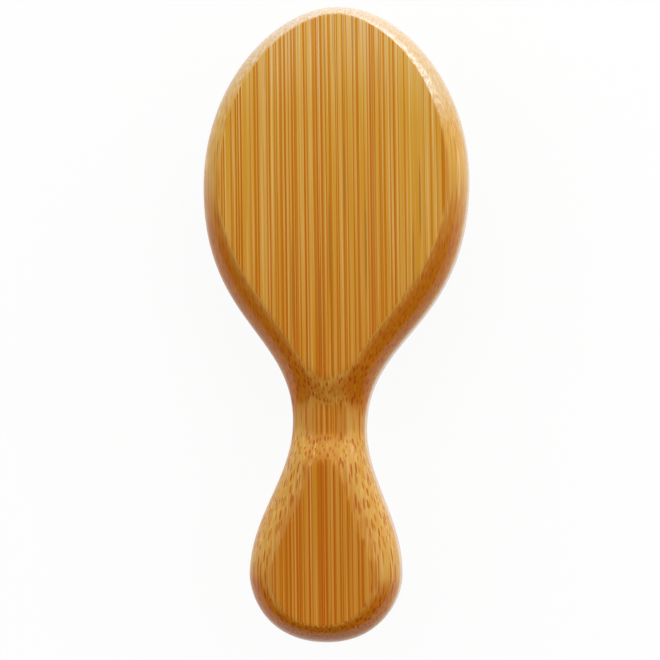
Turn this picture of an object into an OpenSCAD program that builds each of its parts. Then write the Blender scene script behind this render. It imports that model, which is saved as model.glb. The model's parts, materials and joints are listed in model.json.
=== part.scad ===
// Small bamboo paddle brush: a carved wooden body, a domed rubber air cushion held in a
// groove of the head, and turned bamboo pins that are snapped through the cushion.
// The brush lies on its pins: +Z is the flat back, +Y the tip of the head, and the origin
// is on the surface under the middle of the body.

/* [Body] */
// Length of the body, from the tip of the head to the end of the handle
body_length = 130; // [120:1:150]
// Width of the head at its widest line
head_width = 54.5; // [50:0.5:62]
// Width of the neck at its narrowest line
neck_width = 14.9; // [12:0.1:18]
// Width of the handle at its widest line
handle_width = 31.1; // [27:0.1:36]
// Thickness of the body between its flat faces
body_thickness = 14; // [13:0.5:17]
// Distance from the tip of the head to its widest line
head_widest_at = 36.1; // [34:0.1:39]
// Distance from the tip of the head to the narrowest line of the neck
neck_at = 85.7; // [82:0.1:90]
// Distance from the end of the handle to its widest line
handle_widest_from_end = 13.7; // [12:0.1:16]

/* [Back edge] */
// Height of the rounded edge around the back
back_edge_height = 6; // [4:0.1:7]
// Width of that edge at the tip of the head
back_edge_tip = 1.9; // [1.5:0.1:3]
// Width of that edge at the widest line of the head
back_edge_side = 3.9; // [3:0.1:5]
// Width of the flat back at the neck
back_flat_neck = 3.2; // [2.5:0.1:6]
// Width of the flat back at the widest line of the handle
back_flat_handle = 20; // [16:0.1:22]
// Width of the rounded edge at the end of the handle
back_edge_end = 3.8; // [2:0.1:4.5]
// Distance from the tip of the head to the middle of the scoop across the back
back_scoop_at = 84.4; // [81:0.1:88]
// Depth of that scoop
back_scoop = 2; // [1:0.1:3]
// Length of its level floor
back_scoop_floor = 5; // [2:0.5:7]
// Distance from its middle to where it runs out
back_scoop_reach = 8.5; // [7.5:0.5:12]

/* [Pin side edge] */
// Height of the rounded edge around the pin side
front_edge_height = 4.5; // [3:0.1:5]
// Width of that edge
front_edge = 3.5; // [2.5:0.1:4]
// Distance from the tip of the head to the middle of the scoop across the pin side
front_scoop_at = 86; // [84:0.1:90]
// Depth of that scoop
front_scoop = 1.5; // [0.5:0.1:2]
// Length of its level floor
front_scoop_floor = 4; // [2:0.5:7]
// Distance from its middle to where it runs out
front_scoop_reach = 13; // [10:0.5:14]

/* [Cushion] */
// Width of the wooden land between the edge of the head and the pocket
pocket_land = 6.7; // [6:0.1:8]
// Length of the pocket
pocket_length = 61; // [56:0.5:63]
// Depth of the pocket
pocket_depth = 7; // [6:0.1:8]
// Thickness of wood between the pin side and the groove
groove_lip = 1.2; // [1:0.1:1.6]
// Height of the groove that holds the rim of the cushion
groove_height = 1.6; // [1.4:0.1:2]
// Depth of the groove into the wall of the pocket
groove_depth = 1.6; // [1.2:0.1:2]
// Thickness of the rubber
rubber_thickness = 1.2; // [1:0.1:1.5]
// Rise of the cushion over the pin side of the wood
cushion_rise = 3.2; // [2.5:0.1:4]
// Gap between the rubber and the wood
rubber_gap = 0.1; // [0.05:0.01:0.15]
// Diameter of the air vent in the cushion
vent_diameter = 1.6; // [1:0.1:2]

/* [Pins] */
// Length of a pin outside the cushion
pin_reach = 13.5; // [11:0.5:16]
// Diameter of a pin where it meets the cushion
pin_root_diameter = 2.1; // [2:0.1:2.4]
// Diameter of a pin just under its ball tip
pin_waist_diameter = 1.5; // [1.3:0.1:1.7]
// Diameter of the ball tip
pin_tip_diameter = 2.4; // [2.1:0.1:2.6]
// Diameter of the neck that the rubber snaps around
pin_neck_diameter = 1.6; // [1.4:0.1:1.8]
// Diameter of the foot behind the rubber
pin_foot_diameter = 3.6; // [3:0.1:4]
// Thickness of the foot
pin_foot_thickness = 0.8; // [0.6:0.1:1]
// Gap between a pin and the rubber around it
pin_gap = 0.12; // [0.1:0.01:0.15]
// Distance from the outer columns of pins to the wall of the pocket
pin_margin_side = 4.3; // [4:0.1:6]
// Distance from the end pins of the middle column to the wall of the pocket
pin_margin_end = 5.7; // [5:0.1:7]

/* [Hidden] */
$fn = 48;
// Smallest overshoot of a cut past the face that it opens
cut_past = 1;

// Pins in each column, across the head
column_pins = [4, 7, 8, 9, 8, 7, 4];
columns = len(column_pins);
middle_column = (columns - 1) / 2;

// How far each end of the four curves of an outline keeps its direction, as a share of the
// curve: head tip, widest head, widest head, neck, neck, widest handle, widest handle, handle end
outline_pull = [0.49, 0.56, 0.59, 0.38, 0.36, 0.39, 0.29, 0.79];
back_flat_pull = [0.34, 0.69, 0.45, 0.37, 0.45, 0.2, 0.56, 0.67];

// Degrees of arc in the rounded back edge: under 90 it meets the flat at a crisp line
head_arc = 60;
flank_arc = 76;
end_arc = 64;
front_arc = 75;
// Distance before the neck over which the crisp line softens
softening = 25;

// Points along each of the four curves of an outline, and rings across each rounded edge
curve_steps = [14, 32, 22, 12];
edge_steps = 5;
// Points around the cushion, and rings across its dome
egg_steps = 64;
dome_steps = 8;
// Exponent of the dome: 2 is a plain bowl, more keeps the middle flatter
dome_power = 2.2;

// Places along the body, as distances from the tip of the head
tip_y = body_length / 2;
handle_widest_at = body_length - handle_widest_from_end;

// Half sizes of the pocket about the widest line of the head
pocket_y = tip_y - head_widest_at;
pocket_a = head_width / 2 - pocket_land;
pocket_top = head_widest_at - pocket_land;
pocket_bottom = pocket_length - pocket_top;
pocket_middle_y = pocket_y + (pocket_top - pocket_bottom) / 2;

// Half sizes of the rubber dome inside the pocket
dome_a = pocket_a - rubber_gap;
dome_top = pocket_top - rubber_gap;
dome_bottom = pocket_bottom - rubber_gap;

// Spacing of the pins across and along the head
column_pitch = 2 * (pocket_a - pin_margin_side) / (columns - 1);
row_pitch = (pocket_length - 2 * pin_margin_end) / (max(column_pins) - 1);
function pin_x(c) = (c - middle_column) * column_pitch;
function pin_y(c, r) = pocket_middle_y + (r - (column_pins[c] - 1) / 2) * row_pitch;
function pin_name(c, r) = str("pin_c", c + 1, "_r", r + 1);

// The vent sits on the centre line, between the two pins nearest the handle
vent_y = (pin_y(middle_column, 0) + pin_y(middle_column, 1)) / 2;

// Share of the way from the middle of the dome to its rim
function dome_length(y) = y > pocket_y ? dome_top : dome_bottom;
function dome_share(x, y) = norm([x / dome_a, (y - pocket_y) / dome_length(y)]);
// Fall of the outer face of the rubber below the pin side of the wood
function dome_fall(share) = cushion_rise * (1 - pow(share, dome_power));
// Direction straight out of the dome, towards the tip of a pin
function dome_normal(x, y) =
    let (slope = cushion_rise * dome_power * pow(dome_share(x, y), dome_power - 2))
    let (n = [slope * x / pow(dome_a, 2), slope * (y - pocket_y) / pow(dome_length(y), 2), -1])
    n / norm(n);
// Reach of a pin below the pin side of the wood: the lowest pins stand on z = 0
function pin_depth(c, r) =
    let (x = pin_x(c), y = pin_y(c, r), ball = pin_tip_diameter / 2)
    dome_fall(dome_share(x, y)) - (pin_reach - ball) * dome_normal(x, y)[2] + ball;
front_z = max([for (c = [0:columns - 1]) for (r = [0:column_pins[c] - 1]) pin_depth(c, r)]);
back_z = front_z + body_thickness;

function mix(a, b, share) = a + (b - a) * share;
function curve(p, q, r, s, t) =
    pow(1 - t, 3) * p + 3 * pow(1 - t, 2) * t * q + 3 * (1 - t) * t * t * r + pow(t, 3) * s;

// Right half of an outline as [x, distance from the head tip] points, tip to handle end
function half_outline(tip, head, neck, handle, end, pull) =
    let (run = [head_widest_at - tip, neck_at - head_widest_at,
                handle_widest_at - neck_at, end - handle_widest_at])
    let (knots = [
        [[0, tip], [pull[0] * head, tip],
         [head, head_widest_at - pull[1] * run[0]], [head, head_widest_at]],
        [[head, head_widest_at], [head, head_widest_at + pull[2] * run[1]],
         [neck, neck_at - pull[3] * run[1]], [neck, neck_at]],
        [[neck, neck_at], [neck, neck_at + pull[4] * run[2]],
         [handle, handle_widest_at - pull[5] * run[2]], [handle, handle_widest_at]],
        [[handle, handle_widest_at], [handle, handle_widest_at + pull[6] * run[3]],
         [pull[7] * handle, end], [0, end]]])
    [for (k = [0:3]) for (i = [k == 0 ? 0 : 1:curve_steps[k]])
        curve(knots[k][0], knots[k][1], knots[k][2], knots[k][3], i / curve_steps[k])];

edge_line = half_outline(0, head_width / 2, neck_width / 2, handle_width / 2,
    body_length, outline_pull);
back_line = half_outline(back_edge_tip, head_width / 2 - back_edge_side, back_flat_neck / 2,
    back_flat_handle / 2, body_length - back_edge_end, back_flat_pull);
front_line = half_outline(front_edge, head_width / 2 - front_edge, neck_width / 2 - front_edge,
    handle_width / 2 - front_edge, body_length - front_edge, outline_pull);

// Dip of a flat face across the neck: level over its floor, with an even rise on both sides
function scoop(from_middle, depth, floor_length, reach) =
    let (rise = (abs(from_middle) - floor_length / 2) / (reach - floor_length / 2))
    depth * (1 + cos(180 * min(max(rise, 0), 1))) / 2;
function back_dip(at) = scoop(at - back_scoop_at, back_scoop, back_scoop_floor, back_scoop_reach);
function front_dip(at) =
    scoop(at - front_scoop_at, front_scoop, front_scoop_floor, front_scoop_reach);
function back_arc(at) = lookup(at, [
    [neck_at - softening, head_arc], [neck_at, flank_arc],
    [handle_widest_at, flank_arc], [body_length, end_arc]]);

// One point of a rounded edge: share 0 is on the upright side, 1 on the flat face
function edge_point(edge, flat, side_z, flat_z, arc, share) =
    let (plan = mix(edge, flat, (1 - cos(share * arc)) / (1 - cos(arc))))
    [plan[0], tip_y - plan[1], mix(side_z, flat_z, sin(share * arc) / sin(arc))];
function back_ring(share) = [for (i = [0:len(edge_line) - 1])
    edge_point(edge_line[i], back_line[i], back_z - back_edge_height,
        back_z - back_dip(back_line[i][1]), back_arc(back_line[i][1]), share)];
function front_ring(share) = [for (i = [0:len(edge_line) - 1])
    edge_point(edge_line[i], front_line[i], front_z + front_edge_height,
        front_z + front_dip(front_line[i][1]), front_arc, share)];

// A half ring and its mirror image as one closed ring
function whole_ring(half) = concat(half,
    [for (i = [len(half) - 2:-1:1]) [-half[i][0], half[i][1], half[i][2]]]);

// Bands of triangles between neighbouring rings of n points each
function bands(rings, n, first = 0) = [for (k = [0:rings - 2]) for (i = [0:n - 1])
    let (a = first + k * n, j = (i + 1) % n)
    each [[a + i, a + n + i, a + n + j], [a + i, a + n + j, a + j]]];
// A flat cap laddered between the right and left halves of a ring
function ladder(first, n, turned) = [for (i = [0:n / 2 - 1])
    let (p = first + i, q = first + i + 1, r = first + (n - i - 1) % n, s = first + (n - i) % n)
    each [for (t = [[p, q, r], [p, r, s]]) if (t[0] != t[1] && t[1] != t[2] && t[0] != t[2])
        turned ? [t[2], t[1], t[0]] : t]];

// Outer skin of the wooden body, from its back face round its side to its pin side
module body_skin() {
    rings = concat(
        [for (k = [edge_steps:-1:0]) whole_ring(back_ring(k / edge_steps))],
        [for (k = [0:edge_steps]) whole_ring(front_ring(k / edge_steps))]);
    n = len(rings[0]);
    last = len(rings) - 1;
    polyhedron([for (ring = rings) each ring],
        concat(ladder(0, n, false), bands(len(rings), n), ladder(last * n, n, true)));
}

// Points of the egg-shaped pocket, grown outwards and then scaled towards its middle
function egg(grow, share = 1) = [for (i = [0:egg_steps - 1])
    let (angle = 360 * i / egg_steps, length = sin(angle) > 0 ? pocket_top : pocket_bottom)
    [share * (pocket_a + grow) * cos(angle), pocket_y + share * (length + grow) * sin(angle)]];

module pocket() {
    translate([0, 0, front_z - cut_past])
        linear_extrude(pocket_depth + cut_past)
            polygon(egg(0));
    translate([0, 0, front_z + groove_lip])
        linear_extrude(groove_height)
            polygon(egg(groove_depth));
}

module bamboo_body() {
    color("#cf9a50")
    difference() {
        body_skin();
        pocket();
    }
}

function level_ring(points, z) = [for (p = points) [p[0], p[1], z]];
// A ring on the outer face of the dome, or lifted from it into the head
function dome_ring(points, lift) = [for (p = points)
    [p[0], p[1], front_z + lift - dome_fall(dome_share(p[0], p[1]))]];

// Rubber moulding: the dome, a short skirt in the pocket and the rim in its groove
module cushion_skin() {
    wall = -rubber_gap;
    rim = groove_depth - rubber_gap;
    inside = wall - rubber_thickness;
    rim_low = front_z + groove_lip + rubber_gap;
    rim_high = front_z + groove_lip + groove_height - rubber_gap;
    shares = [for (k = [1:dome_steps]) sin(90 * k / dome_steps)];
    rings = concat(
        [for (s = shares) dome_ring(egg(wall, s), 0)],
        [level_ring(egg(wall), rim_low), level_ring(egg(rim), rim_low)],
        [level_ring(egg(rim), rim_high), level_ring(egg(inside), rim_high)],
        [for (k = [dome_steps - 1:-1:0]) dome_ring(egg(inside, shares[k]), rubber_thickness)]);
    n = egg_steps;
    outer_pole = len(rings) * n;
    last = (len(rings) - 1) * n;
    polyhedron(
        concat([for (ring = rings) each ring],
            [[0, pocket_y, front_z - cushion_rise],
             [0, pocket_y, front_z + rubber_thickness - cushion_rise]]),
        concat(bands(len(rings), n),
            [for (i = [0:n - 1]) [outer_pole, i, (i + 1) % n]],
            [for (i = [0:n - 1]) [outer_pole + 1, last + (i + 1) % n, last + i]]));
}

// Puts a shape that stands on its own +Z straight out of the dome at x, y
module on_dome(x, y) {
    out = dome_normal(x, y);
    translate([x, y, front_z - dome_fall(dome_share(x, y))])
        rotate([0, acos(out[2]), atan2(out[1], out[0])])
            children();
}

module cushion_pad() {
    through = rubber_thickness + cut_past;
    color("#2b2927")
    difference() {
        cushion_skin();
        for (c = [0:columns - 1], r = [0:column_pins[c] - 1])
            on_dome(pin_x(c), pin_y(c, r))
                translate([0, 0, -through])
                    cylinder(h = through + cut_past, d = pin_neck_diameter + 2 * pin_gap);
        on_dome(0, vent_y)
            translate([0, 0, -through])
                cylinder(h = through + cut_past, d = vent_diameter);
    }
}

// A turned pin, standing on +Z with the outer face of the rubber at z = 0
module pin() {
    foot_z = -(rubber_thickness + pin_gap);
    ball_z = pin_reach - pin_tip_diameter / 2;
    color("#dcb577") {
        rotate_extrude()
            polygon([
                [0, foot_z - pin_foot_thickness],
                [pin_foot_diameter / 2, foot_z - pin_foot_thickness],
                [pin_foot_diameter / 2, foot_z],
                [pin_neck_diameter / 2, foot_z],
                [pin_neck_diameter / 2, pin_gap],
                [pin_root_diameter / 2, pin_gap],
                [pin_waist_diameter / 2, ball_z],
                [0, ball_z]]);
        translate([0, 0, ball_z])
            sphere(d = pin_tip_diameter);
    }
}

bamboo_body();
cushion_pad();
for (c = [0:columns - 1], r = [0:column_pins[c] - 1])
    on_dome(pin_x(c), pin_y(c, r)) pin();
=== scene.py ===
import json
from collections import namedtuple
from functools import reduce
from math import cos, pi, radians, sin, tan

import bmesh
import bpy
from bpy.props import FloatProperty, FloatVectorProperty, PointerProperty
from bpy.types import Operator, Panel, PropertyGroup
from mathutils import Matrix, Vector
from mathutils.geometry import interpolate_bezier


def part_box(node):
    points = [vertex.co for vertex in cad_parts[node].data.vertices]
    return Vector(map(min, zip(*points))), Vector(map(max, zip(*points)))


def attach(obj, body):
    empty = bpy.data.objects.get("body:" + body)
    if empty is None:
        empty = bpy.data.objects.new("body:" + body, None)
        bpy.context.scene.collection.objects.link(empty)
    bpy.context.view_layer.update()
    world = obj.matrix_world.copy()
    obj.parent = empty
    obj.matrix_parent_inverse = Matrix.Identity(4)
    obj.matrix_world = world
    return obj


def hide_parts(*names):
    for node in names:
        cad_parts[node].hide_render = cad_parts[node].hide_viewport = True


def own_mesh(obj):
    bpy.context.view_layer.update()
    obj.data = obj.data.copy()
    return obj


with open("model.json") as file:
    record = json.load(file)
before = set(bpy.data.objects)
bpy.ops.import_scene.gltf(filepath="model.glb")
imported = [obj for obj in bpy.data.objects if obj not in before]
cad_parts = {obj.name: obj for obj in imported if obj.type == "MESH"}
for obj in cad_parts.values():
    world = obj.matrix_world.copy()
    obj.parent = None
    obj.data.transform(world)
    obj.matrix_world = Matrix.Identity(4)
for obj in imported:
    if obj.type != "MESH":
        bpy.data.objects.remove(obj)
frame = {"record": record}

bl_info = {
    "name": "Bamboo paddle brush",
    "version": (1, 0, 0),
    "blender": (4, 5, 0),
    "location": "View3D > Sidebar > Brush",
    "description": "Makes a small bamboo paddle brush: lacquered body, rubber air cushion and turned pins",
    "category": "Object",
}

MM = 0.001
BODY_LOW, BODY_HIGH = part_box("bamboo_body")
BODY_SIZE = BODY_HIGH - BODY_LOW
# Heights of the pin side and of the back of the wood
FRONT_Z = BODY_LOW.z
BACK_Z = BODY_HIGH.z
BODIES = frame["record"]["behaviour"]["bodies"]
PIN_COLUMNS = [name for name in BODIES if name.startswith("pin_column_")]
MIDDLE_COLUMN = (len(PIN_COLUMNS) - 1) / 2

# How far each end of the four curves of an outline keeps its direction, as a share of the curve:
# head tip, widest head, widest head, neck, neck, widest handle, widest handle, handle end
OUTLINE_PULL = (0.49, 0.56, 0.59, 0.38, 0.36, 0.39, 0.29, 0.79)
BACK_FLAT_PULL = (0.34, 0.69, 0.45, 0.37, 0.45, 0.2, 0.56, 0.67)
# Degrees of arc in the rounded edge of the back, from head to end, and of the pin side: under 90 it
# meets the flat at a crisp line
HEAD_ARC = 60
FLANK_ARC = 76
END_ARC = 64
FRONT_ARC = 75
# Exponent of the dome: 2 is a plain bowl, more keeps the middle flatter
DOME_POWER = 2.2
# Turn between two faces, in degrees, from which the edge between them stays crisp
CRISP_EDGE = 50

# Points along each of the four curves of an outline, rings across a rounded edge and across the
# easing of a crisp line, and columns of faces across a flat
CURVE_STEPS = (40, 64, 44, 32)
ARC_STEPS = 12
EASE_STEPS = 5
FLAT_COLUMNS = 10
# Points around the cushion and rings across its dome
EGG_STEPS = 128
DOME_STEPS = 20
# Rings along a pin, those of its foot and neck, and points around it
PIN_RINGS = 40
FOOT_RINGS = 5
PIN_SIDES = 16
# Length over which a pin steps from one diameter to the next, and rounding between its shaft and ball
PIN_STEP = 0.01 * MM
BALL_FILLET = 0.2 * MM
# Points around a hole in the rubber, around a collar and around the section of a collar
HOLE_SIDES = 24
COLLAR_SIDES = 24
COLLAR_SECTION = 10

# Fibre bundles in cells: shift, pitch and row height in millimetres, the radius of the thinnest and the
# thickest bundle as shares of a cell, and the soft share of that radius
Bundles = namedtuple("Bundles", "shift pitch row thinnest thickest softness")
BOLD_FIBRES = Bundles(shift=0, pitch=1.1, row=2, thinnest=0.08, thickest=0.24, softness=0.25)
FINE_FIBRES = Bundles(shift=7.3, pitch=0.5, row=1, thinnest=0.12, thickest=0.4, softness=0.2)
FLECKS = Bundles(shift=1.7, pitch=0.78, row=0.56, thinnest=0.17, thickest=0.34, softness=0.25)
GREY_STREAKS = Bundles(shift=3.1, pitch=1.9, row=1.9, thinnest=0.03, thickest=0.1, softness=0.4)
PIN_FIBRES = Bundles(shift=0, pitch=0.5, row=0.5, thinnest=0.15, thickest=0.4, softness=0.2)
BUNDLE_DISORDER = 0.85
# Slope of the fibres to the side, and of the grey streaks into the wood
FIBRE_LEAN = 0.039
STREAK_RISE = 0.02
# Bends of the fibres for each millimetre in x, y and z, and how far they go across and in depth, in
# millimetres
FIBRE_BENDS = (0.05, 0.012, 0.05)
BEND_ACROSS = 0.1
BEND_DEPTH = 0.07
# Width, length and depth in millimetres of the golden bands and of the thin pale lines
BAND_SIZE = (1.7, 90, 5)
LINE_SIZE = (0.36, 60, 0.8)
# Breaks in the painted highlight line, and streaks on a pin, for each millimetre in x, y and z
HIGHLIGHT_BREAKUP_SCALE = (2.2, 1.0, 2.2)
PIN_STREAK_SCALE = (5, 5, 0.15)
# What the colour of the bamboo is multiplied by: painted sheen at the tip of the head, painted shade
# on the slopes and flats towards the handle, and painted sheen on the edge around the tip and on its crown
TIP_SHEEN_TINT = (1.16, 1.38, 3.0, 1)
SLOPE_SHADE_TINT = (0.74, 0.38, 0.0, 1)
FLAT_SHADE_TINT = (0.76, 0.42, 0.0, 1)
SHEEN_TINT = (0.94, 1.06, 1.65, 1)
CROWN_SHEEN_TINT = (0.88, 1.1, 2.0, 1)

WHITE = (1, 1, 1, 1)
# Half side of the floor in metres, and the share of plain white that the camera and gloss see in it
FLOOR_HALF = 2.0
FLOOR_WHITE = 0.92
# Brightness of the ceiling against the walls, and of the room as gloss shows it
CEILING_SHARE = 0.15
MIRRORED_ROOM = 0.2
# Point in the middle of the view
VIEW_MIDDLE = Vector((-0.392 * MM, -1.162 * MM, 24 * MM))


def linear(level):
    """Linear light of one channel that is written from 0 to 255."""
    share = level / 255
    return share / 12.92 if share <= 0.04045 else ((share + 0.055) / 1.055) ** 2.4


def length(name, description, millimetres):
    default = millimetres * MM
    return FloatProperty(name=name, description=description, default=default, unit="LENGTH", precision=4)


def angle(name, description, degrees):
    return FloatProperty(name=name, description=description, default=radians(degrees), subtype="ANGLE")


def colour(name, description, *levels):
    shade = [linear(level) for level in levels]
    return FloatVectorProperty(name=name, description=description, default=shade, subtype="COLOR",
                               min=0, max=1)


def power(name, description, watts):
    return FloatProperty(name=name, description=description, default=watts, unit="POWER", min=0)


def brightness(name, description, share):
    return FloatProperty(name=name, description=description, default=share, min=0)


class BodySettings(PropertyGroup):
    """Sizes and colours of the bamboo body."""
    body_length: length("Length", "Tip of the head to the end of the handle", BODY_SIZE.y / MM)
    head_width: length("Head width", "Width at the widest line of the head", BODY_SIZE.x / MM)
    neck_width: length("Neck width", "Width at the narrowest line of the neck", 14.9)
    handle_width: length("Handle width", "Width at the widest line of the handle", 31.1)
    head_widest_at: length("Widest head", "Tip of the head to its widest line", 36.1)
    neck_at: length("Neck", "Tip of the head to the narrowest line of the neck", 85.7)
    handle_widest_at: length("Widest handle", "Tip of the head to the widest line of the handle", 116.3)
    back_edge_height: length("Back edge height", "Height of the rounded edge around the back", 6)
    back_edge_tip: length("Back edge at tip", "Width of that edge at the tip of the head", 1.9)
    back_edge_side: length("Back edge at side", "Width of that edge at the widest line of the head", 3.9)
    back_flat_neck: length("Back flat at neck", "Width of the flat back at the neck", 3.2)
    back_flat_handle: length("Back flat at handle", "Width of the flat back at the handle", 20)
    back_edge_end: length("Back edge at end", "Width of the rounded edge at the end of the handle", 3.8)
    back_scoop_at: length("Back scoop", "Tip of the head to the middle of the scoop in the back", 84.4)
    back_scoop: length("Back scoop depth", "Depth of the scoop in the back", 2)
    back_scoop_floor: length("Back scoop floor", "Length of the level floor of that scoop", 3)
    back_scoop_reach: length("Back scoop reach", "Middle of that scoop to where it runs out", 9.5)
    scoop_bow: length("Scoop bow", "How much further a scoop runs at its sides than in its middle", 2.5)
    scoop_bow_at: length("Scoop bow place", "Distance from the middle at which it runs that much further", 6)
    front_edge_height: length("Front edge height", "Height of the rounded edge around the pin side", 4.5)
    front_edge: length("Front edge", "Width of the rounded edge around the pin side", 3.5)
    front_scoop_at: length("Front scoop", "Tip of the head to the middle of the scoop in the pin side", 86)
    front_scoop: length("Front scoop depth", "Depth of the scoop in the pin side", 1.5)
    front_scoop_floor: length("Front scoop floor", "Length of the level floor of that scoop", 4)
    front_scoop_reach: length("Front scoop reach", "Middle of that scoop to where it runs out", 13)
    softening: length("Softening", "Distance before the neck over which the crisp line softens", 10)
    edge_ease: length("Edge easing", "Sanded width of the crisp line around a flat", 0.4)
    pale: colour("Pale bamboo", "Tan wood between the fibres", 220, 174, 88)
    gold: colour("Golden bamboo", "Golden wood between the fibres", 208, 147, 18)
    amber: colour("Amber lines", "Broad amber lines of fibre", 199, 122, 4)
    fibre: colour("Fibre", "Dark orange lines and flecks of fibre", 193, 105, 0)
    grey: colour("Grey streaks", "Rare grey-brown streaks in the grain", 178, 124, 50)
    straw: colour("Straw lines", "Thin pale lines in the grain", 232, 196, 124)
    # Colours of the painted sheen on the edge around the tip and of the painted highlight line along it
    painted_sheen: colour("Worn edge", "Pale wood of the worn edge around the tip", 206, 176, 134)
    painted_highlight: colour("Rubbed line", "Bare wood where that edge is rubbed through", 250, 244, 232)


class CushionSettings(PropertyGroup):
    """Sizes and colour of the pocket in the head and of the rubber cushion in it."""
    pocket_land: length("Land", "Wood between the edge of the head and the pocket", 6.7)
    pocket_length: length("Pocket length", "Length of the pocket", 61)
    pocket_depth: length("Pocket depth", "Depth of the pocket", 7)
    lip_round: length("Lip rounding", "Radius of the rounded mouth of the pocket", 0.4)
    groove_lip: length("Groove lip", "Wood between the pin side and the groove", 1.2)
    groove_height: length("Groove height", "Height of the groove that holds the rim", 1.6)
    groove_depth: length("Groove depth", "Depth of the groove into the wall of the pocket", 1.6)
    thickness: length("Rubber thickness", "Thickness of the rubber", 1.2)
    rise: length("Rise", "Rise of the cushion over the pin side of the wood", 3.2)
    gap: length("Gap", "Gap between the rubber and the wood", 0.1)
    vent: length("Vent", "Diameter of the air vent", 1.6)
    travel: length("Travel", "How far the middle of the cushion is pressed in", 2.5)
    collar_width: length("Collar width", "Width of the moulded ring around each pin", 0.5)
    collar_height: length("Collar height", "Height of that ring", 0.4)
    collar_room: length("Collar room", "Gap between that ring and the root of its pin", 0.15)
    rubber: colour("Rubber", "Colour of the cushion", 44, 41, 39)


class PinSettings(PropertyGroup):
    """Sizes and colours of the turned pins."""
    reach: length("Reach", "Length of a pin outside the cushion", 13.5)
    root: length("Root diameter", "Diameter where the pin meets the cushion", 2.1)
    waist: length("Waist diameter", "Diameter just under the ball tip", 1.5)
    ball: length("Ball diameter", "Diameter of the ball tip", 2.4)
    neck: length("Neck diameter", "Diameter of the neck that the rubber snaps around", 1.6)
    foot: length("Foot diameter", "Diameter of the foot behind the rubber", 3.6)
    foot_thickness: length("Foot thickness", "Thickness of the foot", 0.8)
    gap: length("Gap", "Gap between a pin and the rubber around it", 0.12)
    margin_side: length("Side margin", "Outer columns to the wall of the pocket", 4.3)
    margin_end: length("End margin", "End pins of the middle column to the wall of the pocket", 5.7)
    pale: colour("Pale pin", "Light turned bamboo", 226, 188, 128)
    fibre: colour("Pin fibre", "Darker fibres along a pin", 186, 130, 66)


class StageSettings(PropertyGroup):
    """Floor, lamps and camera."""
    floor: colour("Floor", "Colour of the floor", 250, 250, 249)
    key: power("Key", "Low softbox at the upper right", 0.5)
    window: power("Window", "Long low softbox beyond the head", 1.15)
    ambient: brightness("Ambient", "Level of the light from the pale walls of the room", 1.03)
    distance: length("Distance", "Camera to the back of the brush", 600)
    frame_width: length("Frame width", "Width of the view at the back of the brush", 135.25)
    tilt_right: angle("Tilt right", "Lean of the camera towards the right of the brush", 6.944)
    tilt_down: angle("Tilt down", "Lean of the camera towards the handle", 0.675)
    roll: angle("Roll", "Turn of the camera about its view", 1.494)


def mixed(first, second, share):
    return first + (second - first) * share


def clamped(share):
    return min(max(share, 0), 1)


# Shape of the wooden body


def half_outline(body, tip, head, neck, handle, end, pull):
    """Right half of an outline as (x, distance from the head tip) points, from the tip to the handle end."""
    places = (tip, body.head_widest_at, body.neck_at, body.handle_widest_at, end)
    halves = (0, head, neck, handle, 0)
    knots = [Vector(knot) for knot in zip(halves, places)]
    points = [knots[0]]
    for k, steps in enumerate(CURVE_STEPS):
        run = places[k + 1] - places[k]
        leaving = knots[k] + Vector((0, pull[2 * k] * run))
        arriving = knots[k + 1] - Vector((0, pull[2 * k + 1] * run))
        if k == 0:
            leaving = Vector((pull[0] * head, tip))
        if k == len(CURVE_STEPS) - 1:
            arriving = Vector((pull[-1] * handle, end))
        points += interpolate_bezier(knots[k], leaving, arriving, knots[k + 1], steps + 1)[1:]
    return points


def eased(share):
    """Smooth step from 0 to 1."""
    return (1 - cos(pi * clamped(share))) / 2


def scoop(from_middle, depth, floor_length, reach):
    """Dip of a flat face across the neck: level over its floor, with an even rise on both sides."""
    return depth * (1 - eased((from_middle - floor_length / 2) / (reach - floor_length / 2)))


def scoop_distance(body, place, scoop_at):
    """Distance from the middle of a scoop, shortened towards the sides so that its ends are bowed."""
    return abs(place.y - scoop_at) - body.scoop_bow * eased(abs(place.x) / body.scoop_bow_at)


def back_flat(body, place):
    """Height of the flat back at a place given by x and the distance from the head tip."""
    from_middle = scoop_distance(body, place, body.back_scoop_at)
    return BACK_Z - scoop(from_middle, body.back_scoop, body.back_scoop_floor, body.back_scoop_reach)


def front_flat(body, place):
    """Height of the flat pin side at a place given by x and the distance from the head tip."""
    from_middle = scoop_distance(body, place, body.front_scoop_at)
    return FRONT_Z + scoop(from_middle, body.front_scoop, body.front_scoop_floor, body.front_scoop_reach)


def back_arc(body, at):
    """Arc of the rounded back edge at a distance from the head tip."""
    if at < body.neck_at:
        start = body.neck_at - body.softening
        return radians(mixed(HEAD_ARC, FLANK_ARC, clamped((at - start) / body.softening)))
    end_run = body.body_length - body.handle_widest_at
    return radians(mixed(FLANK_ARC, END_ARC, clamped((at - body.handle_widest_at) / end_run)))


def edge_point(edge, flat, side_z, flat_z, arc, share):
    """Point of a rounded edge as (x, distance from the tip, z): share 0 is on the side, 1 on the flat."""
    plan = mixed(edge, flat, (1 - cos(share * arc)) / (1 - cos(arc)))
    return Vector((plan.x, plan.y, mixed(side_z, flat_z, sin(share * arc) / sin(arc))))


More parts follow.
